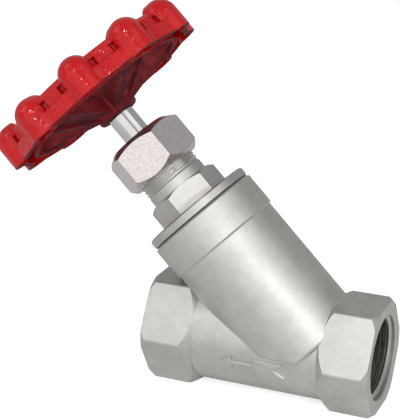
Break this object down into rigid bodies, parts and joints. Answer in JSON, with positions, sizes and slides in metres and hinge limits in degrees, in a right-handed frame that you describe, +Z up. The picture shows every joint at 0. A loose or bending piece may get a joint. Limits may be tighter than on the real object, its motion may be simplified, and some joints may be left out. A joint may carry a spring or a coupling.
{
  "type": "angle seat globe valve",
  "caption": "Inclined-bonnet stainless globe valve with threaded hexagon pipe ends, a rising stem and a lobed red handwheel.",
  "frame": {"origin": "centre of the outlet port's mouth, on the pipe axis", "axes": "+X along the pipe from the outlet mouth to the inlet mouth, +Z up; the bonnet leans 45 degrees back over the outlet in the XZ plane"},
  "size_m": [0.1575, 0.0902, 0.1499],
  "materials": {
    "cast_stainless": "satin investment casting",
    "machined_stainless": "turned and milled",
    "polished_stainless": "polished bar",
    "zinc_steel": "plain",
    "ptfe": "smooth",
    "red_enamel": "glossy"
  },
  "bodies": {
    "housing": {"body": "cast_stainless", "bonnet": "machined_stainless", "bonnet_gasket": "ptfe", "packing_washer": "machined_stainless", "packing_lower_adapter": "ptfe", "packing_v_ring_1": "ptfe", "packing_v_ring_2": "ptfe", "packing_v_ring_3": "ptfe", "packing_upper_adapter": "ptfe"},
    "gland": {"gland_follower": "machined_stainless"},
    "gland_screw": {"gland_nut": "machined_stainless"},
    "plug": {"disc_carrier": "machined_stainless", "seat_seal": "ptfe", "seal_washer": "machined_stainless", "seal_nut": "machined_stainless", "swivel_nut": "machined_stainless", "swivel_washer": "machined_stainless"},
    "spindle": {"stem": "polished_stainless", "handwheel": "red_enamel", "wheel_washer": "zinc_steel", "wheel_lock_washer": "zinc_steel", "wheel_nut": "zinc_steel"}
  },
  "joints": [
    {"name": "plug_lift", "type": "slide", "parent": "housing", "child": "plug", "axis": [-0.7071, 0, 0.7071], "range_m": [0, 0.009]},
    {"name": "stem_turn", "type": "hinge", "parent": "plug", "child": "spindle", "pos_m": [-0.01924, 0, 0.08344], "axis": [-0.7071, 0, 0.7071], "range_deg": [0, 1080]},
    {"name": "gland_lift", "type": "slide", "parent": "housing", "child": "gland", "axis": [-0.7071, 0, 0.7071], "range_m": [0, 0.003]},
    {"name": "gland_nut_turn", "type": "hinge", "parent": "gland", "child": "gland_screw", "pos_m": [-0.0051, 0, 0.0693], "axis": [-0.7071, 0, 0.7071], "range_deg": [0, 720]}
  ],
  "couplings": [
    {"joint": "stem_turn", "follows": "plug_lift", "rad_per_m": 2094.4},
    {"joint": "gland_nut_turn", "follows": "gland_lift", "rad_per_m": 4188.8}
  ]
}
